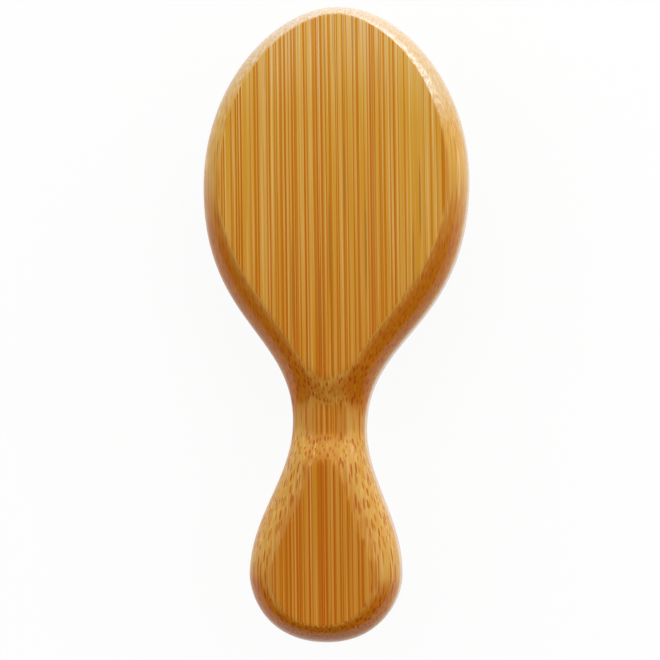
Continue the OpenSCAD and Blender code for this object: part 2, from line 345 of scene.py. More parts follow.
def edge_profile(edge, flat, side_z, height_at, arc, ease):
    """Points across one rounded edge, from just inside the flat to the upright side."""
    flat_z = height_at(flat)
    inside = flat + (flat - edge).normalized() * ease
    start = Vector((inside.x, inside.y, height_at(inside)))
    corner = Vector((flat.x, flat.y, flat_z))
    eased_share = 1 - ease / (edge_point(edge, flat, side_z, flat_z, arc, 0) - corner).length
    landing = edge_point(edge, flat, side_z, flat_z, arc, eased_share)
    # With its handles two thirds of the way to the corner, the curve is a parabola
    handles = [mixed(end, corner, 2 / 3) for end in (start, landing)]
    easing = interpolate_bezier(start, *handles, landing, EASE_STEPS)
    shares = [eased_share * (1 - k / ARC_STEPS) for k in range(1, ARC_STEPS + 1)]
    return list(easing) + [edge_point(edge, flat, side_z, flat_z, arc, share) for share in shares]


def body_rings(body):
    """Rings of the body's skin, from the flat back round the side to the flat pin side."""
    head = body.head_width / 2
    neck = body.neck_width / 2
    handle = body.handle_width / 2
    total = body.body_length
    margin = body.front_edge
    back_side = BACK_Z - body.back_edge_height
    front_side = FRONT_Z + body.front_edge_height
    edges = half_outline(body, 0, head, neck, handle, total, OUTLINE_PULL)
    backs = half_outline(body, body.back_edge_tip, head - body.back_edge_side, body.back_flat_neck / 2,
                         body.back_flat_handle / 2, total - body.back_edge_end, BACK_FLAT_PULL)
    fronts = half_outline(body, margin, head - margin, neck - margin, handle - margin, total - margin,
                          OUTLINE_PULL)
    profiles = []
    for edge, back, front in zip(edges, backs, fronts):
        upper = edge_profile(edge, back, back_side, lambda place: back_flat(body, place),
                             back_arc(body, back.y), body.edge_ease)
        lower = edge_profile(edge, front, front_side, lambda place: front_flat(body, place),
                             radians(FRONT_ARC), body.edge_ease)
        profiles.append(upper + lower[::-1])
    tip_y = BODY_HIGH.y
    halves = [[Vector((p.x, tip_y - p.y, p.z)) for p in ring] for ring in zip(*profiles)]
    return [half + [Vector((-p.x, p.y, p.z)) for p in half[-2:0:-1]] for half in halves]


# Shape of the pocket and of the cushion


def pocket_middle(body):
    """Place along Y of the widest line of the pocket."""
    return BODY_HIGH.y - body.head_widest_at


def pocket_sizes(body, cushion):
    """Half width of the pocket, and its reach from the widest line towards the tip and the handle."""
    towards_tip = body.head_widest_at - cushion.pocket_land
    return body.head_width / 2 - cushion.pocket_land, towards_tip, cushion.pocket_length - towards_tip


def egg(body, cushion, grow, z, share=1.0):
    """Ring of the egg-shaped pocket at one height, grown outwards and then scaled towards its middle."""
    half_width, towards_tip, towards_handle = pocket_sizes(body, cushion)
    ring = []
    for i in range(EGG_STEPS):
        turn = 2 * pi * i / EGG_STEPS
        reach = towards_tip if sin(turn) > 0 else towards_handle
        along = share * (reach + grow) * sin(turn)
        ring.append(Vector((share * (half_width + grow) * cos(turn), pocket_middle(body) + along, z)))
    return ring


def dome_sizes(body, cushion, along):
    """Half width of the dome, and its reach on one side of its widest line."""
    half_width, towards_tip, towards_handle = pocket_sizes(body, cushion)
    reach = towards_tip if along > 0 else towards_handle
    return half_width - cushion.gap, reach - cushion.gap


def dome_share(body, cushion, x, y):
    """Share of the way from the middle of the dome to its rim."""
    along = y - pocket_middle(body)
    half_width, reach = dome_sizes(body, cushion, along)
    return Vector((x / half_width, along / reach)).length


def dome_z(body, cushion, x, y):
    """Height of the outer face of the dome."""
    return FRONT_Z - cushion.rise * (1 - dome_share(body, cushion, x, y) ** DOME_POWER)


def dome_out(body, cushion, root):
    """Direction straight out of the dome, towards the tip of a pin."""
    along = root.y - pocket_middle(body)
    half_width, reach = dome_sizes(body, cushion, along)
    slope = cushion.rise * DOME_POWER * dome_share(body, cushion, root.x, root.y) ** (DOME_POWER - 2)
    return Vector((slope * root.x / half_width**2, slope * along / reach**2, -1)).normalized()


def pocket_rings(body, cushion):
    """Rings of the space that is cut out of the head: rounded mouth, wall, groove and floor."""
    arc = [radians(90) * k / EASE_STEPS for k in range(EASE_STEPS + 1)]
    levels = [(cushion.lip_round, -cushion.lip_round)]
    levels += [(cushion.lip_round * (1 - sin(a)), cushion.lip_round * (1 - cos(a))) for a in arc]
    groove_top = cushion.groove_lip + cushion.groove_height
    levels += [(0, cushion.groove_lip), (cushion.groove_depth, cushion.groove_lip)]
    levels += [(cushion.groove_depth, groove_top), (0, groove_top), (0, cushion.pocket_depth)]
    return [egg(body, cushion, grow, FRONT_Z + height) for grow, height in levels]


def domed(body, cushion, grow, share, lift):
    """Ring on the outer face of the dome, or lifted from it into the head."""
    ring = egg(body, cushion, grow, 0, share)
    return [Vector((p.x, p.y, dome_z(body, cushion, p.x, p.y) + lift)) for p in ring]


def cushion_rings(body, cushion):
    """Rings of the rubber moulding, from near the top of its dome round the rim and back inside."""
    wall = -cushion.gap
    rim = cushion.groove_depth - cushion.gap
    inside = wall - cushion.thickness
    rim_low = FRONT_Z + cushion.groove_lip + cushion.gap
    rim_high = FRONT_Z + cushion.groove_lip + cushion.groove_height - cushion.gap
    shares = [sin(radians(90) * k / DOME_STEPS) for k in range(1, DOME_STEPS + 1)]
    rings = [domed(body, cushion, wall, share, 0) for share in shares]
    levels = ((wall, rim_low), (rim, rim_low), (rim, rim_high), (inside, rim_high))
    rings += [egg(body, cushion, grow, z) for grow, z in levels]
    rings += [domed(body, cushion, inside, share, cushion.thickness) for share in shares[::-1]]
    return rings


def pin_roots(body, cushion, pins):
    """Places of the pins on the dome, one list for each column across the head."""
    half_width, towards_tip, towards_handle = pocket_sizes(body, cushion)
    middle_y = pocket_middle(body) + (towards_tip - towards_handle) / 2
    counts = [len(BODIES[column]) for column in PIN_COLUMNS]
    column_pitch = (half_width - pins.margin_side) / MIDDLE_COLUMN
    row_pitch = (cushion.pocket_length - 2 * pins.margin_end) / (max(counts) - 1)
    columns = []
    for c, count in enumerate(counts):
        x = (c - MIDDLE_COLUMN) * column_pitch
        rows = [middle_y + (r - (count - 1) / 2) * row_pitch for r in range(count)]
        columns.append([Vector((x, y, dome_z(body, cushion, x, y))) for y in rows])
    return columns


def vent_place(body, cushion, pins):
    """The vent sits on the centre line, between the two pins nearest the handle."""
    first, second = pin_roots(body, cushion, pins)[int(MIDDLE_COLUMN)][:2]
    y = (first.y + second.y) / 2
    return Vector((0, y, dome_z(body, cushion, 0, y)))


# Meshes


def points_of(rings):
    return [point for ring in rings for point in ring]


def strips(rings):
    """Faces between neighbouring rings of points."""
    around = len(rings[0])
    faces = []
    for k in range(len(rings) - 1):
        for i in range(around):
            j = (i + 1) % around
            faces.append((k * around + i, k * around + j, (k + 1) * around + j, (k + 1) * around + i))
    return faces


def closed_strips(rings):
    """Faces between neighbouring rings, and one face over each end."""
    around = len(rings[0])
    last = (len(rings) - 1) * around
    return strips(rings) + [tuple(range(around)), tuple(range(last, last + around))]


def flat_cap(points, faces, first, around, height_at):
    """Closes a ring of the body with rows of faces at a height between its right and left halves."""
    half = around // 2
    rows = [[first] * (FLAT_COLUMNS + 1)]
    for i in range(1, half):
        right = first + i
        left = first + around - i
        inner = range(len(points), len(points) + FLAT_COLUMNS - 1)
        for k in range(1, FLAT_COLUMNS):
            point = mixed(points[right], points[left], k / FLAT_COLUMNS)
            point.z = height_at(Vector((point.x, BODY_HIGH.y - point.y)))
            points.append(point)
        rows.append([right, *inner, left])
    rows.append([first + half] * (FLAT_COLUMNS + 1))
    for upper, lower in zip(rows, rows[1:]):
        for k in range(FLAT_COLUMNS):
            corners = dict.fromkeys((upper[k], upper[k + 1], lower[k + 1], lower[k]))
            faces.append(tuple(corners))


def made_mesh(name, points, faces):
    """A new object of that mesh, with its faces turned outwards."""
    mesh = bpy.data.meshes.new(name)
    mesh.from_pydata(points, [], faces)
    shell = bmesh.new()
    shell.from_mesh(mesh)
    bmesh.ops.recalc_face_normals(shell, faces=shell.faces)
    shell.to_mesh(mesh)
    shell.free()
    made = bpy.data.objects.new(name, mesh)
    bpy.context.scene.collection.objects.link(made)
    return made


def applied(piece):
    """Turns a piece and its modifiers into one plain mesh."""
    graph = bpy.context.evaluated_depsgraph_get()
    final = piece.evaluated_get(graph)
    mesh = bpy.data.meshes.new_from_object(final, preserve_all_data_layers=True, depsgraph=graph)
    rough = piece.data
    piece.modifiers.clear()
    piece.data = mesh
    bpy.data.meshes.remove(rough)
    mesh.name = piece.name


def combined(piece, other, operation):
    """Joins another closed shape to a piece, or cuts it out of the piece, and removes that shape."""
    step = piece.modifiers.new("Combine", "BOOLEAN")
    step.operation = operation
    step.solver = "EXACT"
    step.object = other
    applied(piece)
    mesh = other.data
    bpy.data.objects.remove(other)
    bpy.data.meshes.remove(mesh)


def round_bars(name, bars, reach):
    """Round bars in one mesh, each by its middle, direction and radius, with one reach to both ends."""
    turns = [2 * pi * i / HOLE_SIDES for i in range(HOLE_SIDES)]
    points = []
    faces = []
    for middle, direction, radius in bars:
        across = direction.orthogonal().normalized() * radius
        other = direction.cross(across)
        centres = [middle + end * direction for end in (reach, -reach)]
        ends = [[centre + cos(a) * across + sin(a) * other for a in turns] for centre in centres]
        first = len(points)
        faces += [tuple(first + corner for corner in face) for face in closed_strips(ends)]
        points += points_of(ends)
    return made_mesh(name, points, faces)


def finished(piece, material):
    """Smooth faces with crisp edges, where the large faces keep their own direction, in one material."""
    piece.data.shade_smooth()
    piece.data.set_sharp_from_angle(angle=radians(CRISP_EDGE))
    normals = piece.modifiers.new("Weighted normals", "WEIGHTED_NORMAL")
    normals.keep_sharp = True
    applied(piece)
    piece.data.materials.clear()
    piece.data.materials.append(material)


# Node trees


class Wiring:
    """Short calls that add nodes to one tree and join them."""

    def __init__(self, tree):
        self.tree = tree

    def feed(self, socket, value):
        """Joins a socket to another one, or sets its value."""
        if isinstance(value, bpy.types.NodeSocket):
            self.tree.links.new(value, socket)
        else:
            socket.default_value = value

    def fill(self, node, inputs):
        for name, value in inputs.items():
            self.feed(node.inputs[name], value)

    def add(self, kind, inputs=None, **settings):
        node = self.tree.nodes.new(kind)
        for name, value in settings.items():
            setattr(node, name, value)
        self.fill(node, inputs or {})
        return node

    def result(self, kind, inputs=None, **settings):
        """First output of a new node."""
        return self.add(kind, inputs, **settings).outputs[0]

    def math(self, operation, *values, clamp=False):
        return self.result("ShaderNodeMath", dict(enumerate(values)), operation=operation, use_clamp=clamp)

    def times(self, *values):
        return reduce(lambda first, second: self.math("MULTIPLY", first, second), values)

    def vector(self, operation, first, second):
        return self.result("ShaderNodeVectorMath", {0: first, 1: second}, operation=operation)

    def scaled(self, vector, factor):
        return self.result("ShaderNodeVectorMath", {"Vector": vector, "Scale": factor}, operation="SCALE")

    def place(self):
        """Object coordinates in millimetres."""
        return self.scaled(self.add("ShaderNodeTexCoord").outputs["Object"], 1 / MM)

    def joined(self, x=0.0, y=0.0, z=0.0):
        return self.result("ShaderNodeCombineXYZ", {"X": x, "Y": y, "Z": z})

    def split(self, vector):
        return self.add("ShaderNodeSeparateXYZ", {"Vector": vector}).outputs[:3]

    def ramp(self, value, low, high, to_low=0.0, to_high=1.0):
        """Smooth step from to_low to to_high while a value goes from low to high."""
        spread = {"Value": value, "From Min": low, "From Max": high, "To Min": to_low, "To Max": to_high}
        return self.result("ShaderNodeMapRange", spread, interpolation_type="SMOOTHSTEP")

    def noise(self, vector, detail=2.0, roughness=0.5, output="Fac"):
        settings = {"Vector": vector, "Scale": 1.0, "Detail": detail, "Roughness": roughness}
        return self.add("ShaderNodeTexNoise", settings).outputs[output]

    def tint(self, share, first, second, blend="MIX"):
        """Mix of two colours. The colour sockets of the node are its inputs 6 and 7 and its output 2."""
        colours = {0: share, 6: first, 7: second}
        return self.add("ShaderNodeMix", colours, data_type="RGBA", blend_type=blend).outputs[2]

    def bump(self, height, strength, depth):
        return self.result("ShaderNodeBump", {"Height": height, "Strength": strength, "Distance": depth})

    def rays(self):
        """1 for a ray from the camera, and 1 for a ray from gloss or through something clear."""
        ray = self.add("ShaderNodeLightPath").outputs
        return ray["Is Camera Ray"], self.math("MAXIMUM", ray["Is Glossy Ray"], ray["Is Transmission Ray"])

    def circle(self, sides, radius):
        return self.result("GeometryNodeCurvePrimitiveCircle", {"Resolution": sides, "Radius": radius})

    def choice(self, number, values):
        """One of several values by number."""
        node = self.add("GeometryNodeIndexSwitch", data_type="FLOAT")
        for _ in range(len(values) - len(node.index_switch_items)):
            node.index_switch_items.new()
        self.fill(node, dict(enumerate((number, *values))))
        return node.outputs[0]


def opaque(shade):
    return (*shade, 1.0)


def new_material(name):
    """A material with only its shader, as (material, wiring, shader node)."""
    material = bpy.data.materials.new(name)
    material.use_nodes = True
    return material, Wiring(material.node_tree), material.node_tree.nodes["Principled BSDF"]


def fibre_bundles(wiring, across, depth, bundles):
    """Oval fibre bundles along the wood in rows, one row at depth 0: 1 inside a bundle, 0 between them."""
    columns = wiring.math("DIVIDE", wiring.math("ADD", across, bundles.shift), bundles.pitch)
    rows = wiring.math("ADD", wiring.math("DIVIDE", depth, bundles.row), 0.5)
    settings = {"Vector": wiring.joined(columns, rows), "Scale": 1.0, "Randomness": BUNDLE_DISORDER}
    cell = wiring.add("ShaderNodeTexVoronoi", settings, voronoi_dimensions="2D", feature="F1").outputs
    size, strength, _ = wiring.split(cell["Color"])
    radius = wiring.ramp(size, 0, 1, bundles.thinnest, bundles.thickest)
    inner = wiring.times(radius, 1 - bundles.softness)
    outer = wiring.times(radius, 1 + bundles.softness)
    inside = wiring.ramp(cell["Distance"], inner, outer, 1, 0)
    return wiring.times(inside, wiring.ramp(strength, 0, 1, 0.5, 1))


def bamboo_grain(body, wiring, place, flatness, along_fibres):
    """New bamboo, as its colour, its bold fibres and its thin pale lines."""
    x, y, z = wiring.split(place)
    # The fibres lean a little from the axis of the brush and wander along it
    bends = wiring.noise(wiring.vector("MULTIPLY", place, FIBRE_BENDS), detail=1.0, output="Color")
    bend_x, bend_z, _ = wiring.split(bends)
    leant = wiring.math("ADD", x, wiring.times(y, FIBRE_LEAN))
    across = wiring.math("ADD", leant, wiring.ramp(bend_x, 0.2, 0.8, -BEND_ACROSS, BEND_ACROSS))
    from_back = wiring.math("SUBTRACT", z, BACK_Z / MM)
    depth = wiring.math("ADD", from_back, wiring.ramp(bend_z, 0.2, 0.8, -BEND_DEPTH, BEND_DEPTH))

    bold = fibre_bundles(wiring, across, depth, BOLD_FIBRES)
    fine = fibre_bundles(wiring, across, depth, FINE_FIBRES)
    fleck = fibre_bundles(wiring, across, depth, FLECKS)
    fleck = wiring.times(fleck, wiring.ramp(y, -12, 2, 1, 0.55))
    rising = wiring.math("MULTIPLY_ADD", y, STREAK_RISE, depth)
    streak = fibre_bundles(wiring, across, rising, GREY_STREAKS)

    # Broad golden and tan bands, and thin lines that are paler or more golden
    grid = wiring.joined(across, y, depth)
    band = wiring.noise(wiring.vector("DIVIDE", grid, BAND_SIZE), detail=3.0, roughness=0.65)
    golden = wiring.math("SUBTRACT", 1, wiring.ramp(band, 0.36, 0.64, 0.25, 0.75))
    grain = wiring.noise(wiring.vector("DIVIDE", grid, LINE_SIZE))
    line = wiring.ramp(grain, 0.53, 0.7)
    glow = wiring.ramp(grain, 0.47, 0.3)

    # Cut across, the fibres show as flecks and the wood between them is paler
    cut_across = wiring.ramp(flatness, 0.998, 0.955)
    layers = (
        (wiring.times(golden, wiring.ramp(along_fibres, 0, 1, 0.5, 1)), body.gold),
        (wiring.times(line, 0.75), body.straw),
        (wiring.times(glow, 0.6), body.gold),
        (wiring.ramp(cut_across, 0, 1, bold, 0), body.amber),
        (wiring.ramp(cut_across, 0, 1, fine, fleck), body.fibre),
        (wiring.times(streak, along_fibres), body.grey),
    )
    wood = opaque(body.pale)
    for share, shade in layers:
        wood = wiring.tint(share, wood, opaque(shade))
    return wood, bold, line


def with_painted_light(body, wiring, wood, place, normal, along_fibres):
    """Bamboo colour with painted light: sheen at the tip, shade towards the handle, and sheen and a
    highlight line on the tip's edge.
    """
    side, facing, level = normal
    _, y, _ = wiring.split(place)
    # Painted shade towards the handle and on slopes facing away from the light; painted sheen at the tip
    towards_handle = wiring.ramp(y, 60, -40)
    slope_shade = wiring.ramp(facing, -0.25, 0.12, 1.0, wiring.times(towards_handle, 0.2))
    slope_shade = wiring.times(slope_shade, wiring.ramp(level, 0.1, 0.6, 0.35, 1))
    painted_shade = wiring.ramp(along_fibres, 0, 1, slope_shade, wiring.times(towards_handle, 0.6))
    tip = wiring.tint(wiring.ramp(y, 40, 66), WHITE, TIP_SHEEN_TINT)
    shade_tint = wiring.tint(along_fibres, SLOPE_SHADE_TINT, FLAT_SHADE_TINT)
    wood = wiring.tint(1.0, wood, wiring.tint(painted_shade, tip, shade_tint), "MULTIPLY")

    # Painted sheen: the edge around the tip is made paler where it faces the light, most on its right
    around_tip = wiring.times(wiring.ramp(facing, 0.1, 0.5), wiring.ramp(y, 5, 35))
    painted_sheen = wiring.times(around_tip, wiring.ramp(level, 0, 0.4, 0.15, 1))
    paler = wiring.tint(wiring.ramp(facing, 0.55, 0.9), SHEEN_TINT, CROWN_SHEEN_TINT)
    wood = wiring.tint(painted_sheen, wood, paler, "MULTIPLY")
    sheen_share = wiring.times(painted_sheen, wiring.ramp(side, -0.2, 0.4, 0.2, 0.5))
    wood = wiring.tint(sheen_share, wood, opaque(body.painted_sheen))

    # Painted highlight: on the right a broken pale line runs along that edge
    highlight_breakup = wiring.noise(wiring.vector("MULTIPLY", place, HIGHLIGHT_BREAKUP_SCALE), detail=3.0, roughness=0.6)
    highlight_breakup = wiring.ramp(highlight_breakup, 0.36, 0.64, 0.08, 0.68)
    on_line = wiring.times(wiring.ramp(level, 0.6, 0.76), wiring.ramp(level, 0.985, 0.95))
    on_right = wiring.times(wiring.ramp(side, 0.1, 0.25), wiring.ramp(y, 38, 52))
    return wiring.tint(wiring.times(highlight_breakup, on_line, on_right), wood, opaque(body.painted_highlight))


def bamboo_material(body):
    """Lacquered bamboo: solid fibres along the body, long lines on the flats and flecks on the slopes."""
    material, wiring, shader = new_material("Lacquered_bamboo")
    place = wiring.place()
    normal = wiring.split(wiring.add("ShaderNodeTexCoord").outputs["Normal"])
    flatness = wiring.math("ABSOLUTE", normal[2])
    along_fibres = wiring.ramp(flatness, 0.85, 0.99)
    wood, bold, line = bamboo_grain(body, wiring, place, flatness, along_fibres)
    pores = wiring.math("ADD", wiring.times(bold, -0.6), wiring.times(line, -0.4))
    wiring.fill(shader, {
        "Base Color": with_painted_light(body, wiring, wood, place, normal, along_fibres),
        "Normal": wiring.bump(pores, 0.25, 0.02 * MM),
        "Roughness": wiring.ramp(bold, 0, 1, 0.5, 0.6),
        "Specular IOR Level": 0.02,
        "Coat Weight": 1.0,
        "Coat IOR": 1.45,
        "Coat Roughness": 0.2,
    })
    return material


def rubber_material(cushion):
    """Matt moulded rubber with a fine grain."""
    material, wiring, shader = new_material("Moulded_rubber")
    place = wiring.place()
    grain = wiring.noise(wiring.scaled(place, 3.0), detail=3.0, roughness=0.6)
    cloud = wiring.ramp(wiring.noise(wiring.scaled(place, 0.12)), 0.3, 0.7)
    dusty = tuple(channel * 1.5 + 0.004 for channel in cushion.rubber)
    wiring.fill(shader, {
        "Base Color": wiring.tint(cloud, opaque(cushion.rubber), opaque(dusty)),
        "Normal": wiring.bump(grain, 0.3, 0.03 * MM),
        "Roughness": wiring.ramp(grain, 0.3, 0.7, 0.5, 0.68),
        "Sheen Weight": 0.08,
    })
    return material


def pin_material(pins):
    """Turned bamboo with fibres along each pin, by the place on its own pin that each point keeps."""
    material, wiring, shader = new_material("Turned_bamboo")
    place = wiring.add("ShaderNodeAttribute", attribute_name="pin_place").outputs["Vector"]
    tone = wiring.add("ShaderNodeAttribute", attribute_name="pin_tone").outputs["Fac"]
    x, y, z = wiring.split(wiring.scaled(place, 1 / MM))
    # The tone also picks the part of the wood that a pin is turned from
    shift = wiring.times(tone, 40)
    across = wiring.math("ADD", x, shift)
    bundles = fibre_bundles(wiring, across, wiring.math("ADD", y, shift), PIN_FIBRES)
    streak = wiring.noise(wiring.vector("MULTIPLY", wiring.joined(across, y, z), PIN_STREAK_SCALE))
    streak = wiring.ramp(streak, 0.35, 0.7)
    wood = opaque(pins.pale)
    for mark, share in ((streak, 0.4), (bundles, 0.7), (tone, 0.35)):
        wood = wiring.tint(wiring.times(mark, share), wood, opaque(pins.fibre))
    wiring.fill(shader, {
        "Base Color": wood,
        "Normal": wiring.bump(bundles, 0.2, 0.02 * MM),
        "Roughness": wiring.ramp(streak, 0, 1, 0.36, 0.48),
    })
    return material


# Trees that repeat a shape on the dome


def repeat_tree(name, sizes):
    """A tree that takes roots and named sizes and gives one mesh, as (tree, wiring, group inputs)."""
    tree = bpy.data.node_groups.new(name, "GeometryNodeTree")
    inputs = {"Roots": "Geometry", **dict.fromkeys(sizes, "Float"), "Seed": "Int", "Finish": "Material"}
    for socket, kind in inputs.items():
        tree.interface.new_socket(socket, in_out="INPUT", socket_type=f"NodeSocket{kind}")
    tree.interface.new_socket("Mesh", in_out="OUTPUT", socket_type="NodeSocketGeometry")
    wiring = Wiring(tree)
    return tree, wiring, wiring.add("NodeGroupInput").outputs


def stand_on_roots(wiring, given, shape):
    """Repeats a shape on every root, straight out of the dome, and gives it a tone and its finish."""
    out = wiring.result("GeometryNodeInputNamedAttribute", {"Name": "out"}, data_type="FLOAT_VECTOR")
    turn = wiring.result("FunctionNodeAlignRotationToVector", {"Vector": out}, axis="Z")
    copies = {"Points": given["Roots"], "Instance": shape, "Rotation": turn}
    stood = wiring.result("GeometryNodeInstanceOnPoints", copies)
    random = wiring.add("FunctionNodeRandomValue", {"Seed": given["Seed"]}, data_type="FLOAT")
    tone = next(socket for socket in random.outputs if socket.enabled)
    kept = {"Geometry": stood, "Name": "pin_tone", "Value": tone}
    toned = wiring.result("GeometryNodeStoreNamedAttribute", kept, data_type="FLOAT", domain="INSTANCE")
    real = wiring.result("GeometryNodeRealizeInstances", {"Geometry": toned})
    done = wiring.result("GeometryNodeSetMaterial", {"Geometry": real, "Material": given["Finish"]})
    wiring.add("NodeGroupOutput", {"Mesh": done})


def pin_tree():
    """Turned pins: a foot behind the rubber, a neck in it, a tapered shaft and a ball tip."""
    diameters = ("Root", "Waist", "Ball", "Neck", "Foot")
    lengths = ("Reach", "Foot thickness", "Rubber", "Gap")
    tree, wiring, given = repeat_tree("Turned pins", diameters + lengths)
    root, waist, ball, neck, foot = (wiring.times(given[size], 0.5) for size in diameters)
    reach, foot_thickness, rubber, gap = (given[size] for size in lengths)
    ring = wiring.result("GeometryNodeInputIndex")
    foot_top = wiring.times(wiring.math("ADD", rubber, gap), -1)
    foot_low = wiring.math("SUBTRACT", foot_top, foot_thickness)

    # Above the neck the rings close up towards the ball
    above = wiring.math("SUBTRACT", ring, FOOT_RINGS)
    share = wiring.math("DIVIDE", above, PIN_RINGS - 1 - FOOT_RINGS, clamp=True)
    rise = wiring.math("SINE", wiring.times(share, pi / 2))
    height = wiring.math("MULTIPLY_ADD", rise, wiring.math("SUBTRACT", reach, gap), gap)
    middle = wiring.math("SUBTRACT", reach, ball)
    taper = wiring.math("DIVIDE", height, middle, clamp=True)
    shaft = wiring.math("MULTIPLY_ADD", taper, wiring.math("SUBTRACT", waist, root), root)

    # The ball is a sphere around its middle, where the shaft ends
    from_middle = wiring.math("SUBTRACT", height, middle)
    square = wiring.math("SUBTRACT", wiring.math("POWER", ball, 2), wiring.times(from_middle, from_middle))
    sphere = wiring.math("SQRT", wiring.math("MAXIMUM", square, 0))
    before = wiring.math("SUBTRACT", 1, wiring.math("GREATER_THAN", from_middle, 0))
    fillet = wiring.times(before, BALL_FILLET)
    turned = wiring.math("SMOOTH_MAX", wiring.times(shaft, before), sphere, fillet)

    neck_low = wiring.math("ADD", foot_top, PIN_STEP)
    neck_high = wiring.math("SUBTRACT", gap, PIN_STEP)
    number = wiring.math("MINIMUM", ring, FOOT_RINGS)
    height = wiring.choice(number, (foot_low, foot_top, neck_low, neck_high, gap, height))
    radius = wiring.choice(number, (foot, foot, neck, neck, root, turned))
    spine = wiring.result("GeometryNodeCurvePrimitiveLine", {"End": (0, 0, 1)})
    rings = wiring.result("GeometryNodeResampleCurve", {"Curve": spine, "Count": PIN_RINGS})
    axis = {"Geometry": rings, "Position": wiring.joined(z=height)}
    placed = wiring.result("GeometryNodeSetPosition", axis)
    profile = wiring.circle(PIN_SIDES, 1.0)
    lathe = {"Curve": placed, "Profile Curve": profile, "Scale": radius, "Fill Caps": True}
    skin = wiring.result("GeometryNodeCurveToMesh", lathe)
    closed = wiring.result("GeometryNodeMergeByDistance", {"Geometry": skin, "Distance": PIN_STEP / 5})
    smooth = wiring.result("GeometryNodeSetShadeSmooth", {"Geometry": closed})
    place = wiring.result("GeometryNodeInputPosition")
    kept = {"Geometry": smooth, "Name": "pin_place", "Value": place}
    marked = wiring.result("GeometryNodeStoreNamedAttribute", kept, data_type="FLOAT_VECTOR", domain="POINT")
    stand_on_roots(wiring, given, marked)
    return tree


def collar_tree():
    """Moulded rings of rubber around the pins and the vent."""
    tree, wiring, given = repeat_tree("Moulded collars", ("Hole", "Width", "Height"))
    half_width = wiring.times(given["Width"], 0.5)
    radius = wiring.math("ADD", wiring.times(given["Hole"], 0.5), half_width)
    section = {"Geometry": wiring.circle(COLLAR_SECTION, 1.0)}
    section["Scale"] = wiring.joined(half_width, given["Height"], 1.0)
    oval = wiring.result("GeometryNodeTransform", section)
    ring = {"Curve": wiring.circle(COLLAR_SIDES, radius), "Profile Curve": oval}
    skin = wiring.result("GeometryNodeCurveToMesh", ring)
    smooth = wiring.result("GeometryNodeSetShadeSmooth", {"Geometry": skin})
    stand_on_roots(wiring, given, smooth)
    return tree


def repeated(name, tree, roots, outs, values):
    """A piece made by a tree from its roots, as one plain mesh."""
    piece = made_mesh(name, roots, [])
    direction = piece.data.attributes.new("out", "FLOAT_VECTOR", "POINT")
    direction.data.foreach_set("vector", [channel for out in outs for channel in out])
    modifier = piece.modifiers.new(tree.name, "NODES")
    modifier.node_group = tree
    for item in tree.interface.items_tree:
        if item.name in values:
            modifier[item.identifier] = values[item.name]
    applied(piece)
    return piece


# Operators


class BRUSH_OT_bamboo_body(Operator):
    """Makes the lacquered bamboo body with the pocket for its cushion"""
    bl_idname = "brush.bamboo_body"
    bl_label = "Bamboo body"

    def execute(self, context):
        body = context.scene.brush_body
        cushion = context.scene.brush_cushion
        rings = body_rings(body)
        points = points_of(rings)
        faces = strips(rings)
        around = len(rings[0])
        flat_cap(points, faces, 0, around, lambda place: back_flat(body, place))
        last_ring = (len(rings) - 1) * around
        flat_cap(points, faces, last_ring, around, lambda place: front_flat(body, place))
        piece = made_mesh("body", points, faces)
        hollow = pocket_rings(body, cushion)
        combined(piece, made_mesh("pocket", points_of(hollow), closed_strips(hollow)), "DIFFERENCE")
        finished(piece, bamboo_material(body))
        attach(piece, "brush_body")
        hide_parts("bamboo_body")
        return {"FINISHED"}


class BRUSH_OT_rubber_cushion(Operator):
    """Makes the rubber air cushion with its vent and the collars around its pins"""
    bl_idname = "brush.rubber_cushion"
    bl_label = "Rubber cushion"

    def execute(self, context):
        body = context.scene.brush_body
        cushion = context.scene.brush_cushion
        pins = context.scene.brush_pins
        rings = cushion_rings(body, cushion)
        points = points_of(rings)
        faces = strips(rings)
        last = (len(rings) - 1) * EGG_STEPS
        poles = (len(points), len(points) + 1)
        top = Vector((0, pocket_middle(body), FRONT_Z - cushion.rise))
        points += [top, top + Vector((0, 0, cushion.thickness))]
        for i in range(EGG_STEPS):
            j = (i + 1) % EGG_STEPS
            faces += [(poles[0], i, j), (poles[1], last + j, last + i)]
        pad = made_mesh("cushion", points, faces)

        finish = rubber_material(cushion)
        roots = points_of(pin_roots(body, cushion, pins))
        vent = vent_place(body, cushion, pins)
        outs = [dome_out(body, cushion, root) for root in roots]
        vent_out = dome_out(body, cushion, vent)
        tree = collar_tree()
        sizes = {"Width": cushion.collar_width, "Height": cushion.collar_height, "Finish": finish}
        around_pin = {**sizes, "Hole": pins.root + 2 * cushion.collar_room}
        around_vent = {**sizes, "Hole": cushion.vent}
        combined(pad, repeated("pin_collars", tree, roots, outs, around_pin), "UNION")
        combined(pad, repeated("vent_collar", tree, [vent], [vent_out], around_vent), "UNION")
        pin_hole = pins.neck / 2 + pins.gap
        bars = [(root, out, pin_hole) for root, out in zip(roots, outs)]
        bars.append((vent, vent_out, cushion.vent / 2))
        combined(pad, round_bars("drills", bars, 2 * cushion.thickness), "DIFFERENCE")
        finished(pad, finish)
        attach(pad, "cushion")
        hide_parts("cushion_pad")
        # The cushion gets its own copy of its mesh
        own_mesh(pad)
        return {"FINISHED"}


